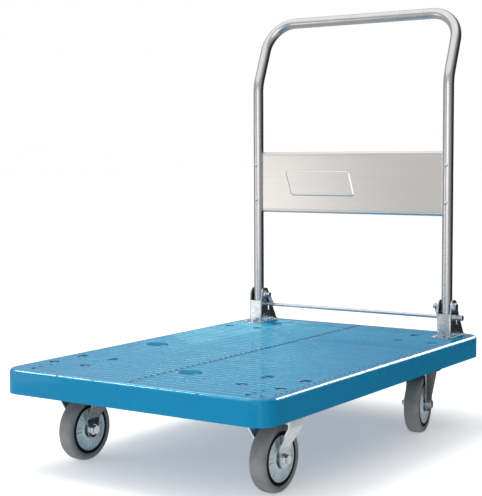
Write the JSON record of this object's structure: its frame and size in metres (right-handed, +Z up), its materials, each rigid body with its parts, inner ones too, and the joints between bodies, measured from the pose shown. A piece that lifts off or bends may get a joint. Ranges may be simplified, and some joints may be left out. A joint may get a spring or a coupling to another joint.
{
  "type": "flatbed platform truck",
  "caption": "Flatbed platform truck: moulded deck with a fold-down tube handle, rigid front casters and swivel rear casters.",
  "frame": {"origin": "on the floor, below the centre of the deck", "axes": "+Z up, +Y towards the handle end, +X to the right when seen from the front end"},
  "size_m": [0.6, 0.9, 0.929],
  "materials": {
    "deck_plastic": "moulded, light grain, semi-gloss",
    "tyre_rubber": "moulded matte",
    "cushion_rubber": "moulded matte",
    "hub_plastic": "moulded satin",
    "zinc_steel": "bright zinc plate",
    "tube_steel": "polished stainless",
    "panel_steel": "satin stainless, brushed along its length",
    "fastener_steel": "bright zinc plate",
    "bearing_steel": "ground steel",
    "black_plastic": "moulded matte",
    "brass": "turned"
  },
  "bodies": {
    "deck": {"deck": "deck_plastic", "caster_bolts": "fastener_steel", "caster_nuts": "fastener_steel", "front_left_fork": "zinc_steel", "front_right_fork": "zinc_steel", "front_axle_bolts": "fastener_steel", "front_axle_nuts": "fastener_steel", "front_axle_sleeves": "fastener_steel", "rear_left_plate": "zinc_steel", "rear_left_kingpin": "fastener_steel", "rear_right_plate": "zinc_steel", "rear_right_kingpin": "fastener_steel", "left_bracket": "zinc_steel", "right_bracket": "zinc_steel", "pivot_bolts": "fastener_steel", "pivot_nuts": "fastener_steel", "bracket_bolts": "fastener_steel", "bracket_inserts": "brass", "release_springs": "fastener_steel"},
    "handle": {"handle_tube": "tube_steel", "handle_panel": "panel_steel", "panel_rivets": "fastener_steel", "tube_plugs": "black_plastic", "pivot_bushes": "black_plastic"},
    "release_bar": {"release_rod": "fastener_steel", "rod_caps": "fastener_steel"},
    "rear_left_swivel": {"rear_left_fork": "zinc_steel", "rear_left_balls": "bearing_steel", "rear_left_axle_bolt": "fastener_steel", "rear_left_axle_nut": "fastener_steel", "rear_left_axle_sleeve": "fastener_steel"},
    "rear_right_swivel": {"rear_right_fork": "zinc_steel", "rear_right_balls": "bearing_steel", "rear_right_axle_bolt": "fastener_steel", "rear_right_axle_nut": "fastener_steel", "rear_right_axle_sleeve": "fastener_steel"},
    "front_left_wheel": {"front_left_tyre": "tyre_rubber", "front_left_cushion": "cushion_rubber", "front_left_hub": "hub_plastic", "front_left_bearings": "bearing_steel"},
    "front_right_wheel": {"front_right_tyre": "tyre_rubber", "front_right_cushion": "cushion_rubber", "front_right_hub": "hub_plastic", "front_right_bearings": "bearing_steel"},
    "rear_left_wheel": {"rear_left_tyre": "tyre_rubber", "rear_left_cushion": "cushion_rubber", "rear_left_hub": "hub_plastic", "rear_left_bearings": "bearing_steel"},
    "rear_right_wheel": {"rear_right_tyre": "tyre_rubber", "rear_right_cushion": "cushion_rubber", "rear_right_hub": "hub_plastic", "rear_right_bearings": "bearing_steel"}
  },
  "joints": [
    {"name": "handle_fold", "type": "hinge", "parent": "deck", "child": "handle", "pos_m": [0, 0.376, 0.264], "axis": [1, 0, 0], "range_deg": [0, 90]},
    {"name": "release_press", "type": "slide", "parent": "deck", "child": "release_bar", "axis": [0, 0, -1], "range_m": [0, 0.011], "stiffness_N_per_m": 600, "springref_m": -0.02, "deforming": ["release_springs"]},
    {"name": "rear_left_turn", "type": "hinge", "parent": "deck", "child": "rear_left_swivel", "pos_m": [-0.222, 0.31, 0.14], "axis": [0, 0, 1], "continuous": true},
    {"name": "rear_right_turn", "type": "hinge", "parent": "deck", "child": "rear_right_swivel", "pos_m": [0.222, 0.31, 0.14], "axis": [0, 0, 1], "continuous": true},
    {"name": "front_left_roll", "type": "hinge", "parent": "deck", "child": "front_left_wheel", "pos_m": [-0.222, -0.302, 0.0625], "axis": [1, 0, 0], "continuous": true},
    {"name": "front_right_roll", "type": "hinge", "parent": "deck", "child": "front_right_wheel", "pos_m": [0.222, -0.302, 0.0625], "axis": [1, 0, 0], "continuous": true},
    {"name": "rear_left_roll", "type": "hinge", "parent": "rear_left_swivel", "child": "rear_left_wheel", "pos_m": [-0.22663, 0.27228, 0.0625], "axis": [0.9925, -0.1219, 0], "continuous": true},
    {"name": "rear_right_roll", "type": "hinge", "parent": "rear_right_swivel", "child": "rear_right_wheel", "pos_m": [0.22892, 0.27264, 0.0625], "axis": [0.9833, 0.1822, 0], "continuous": true}
  ]
}
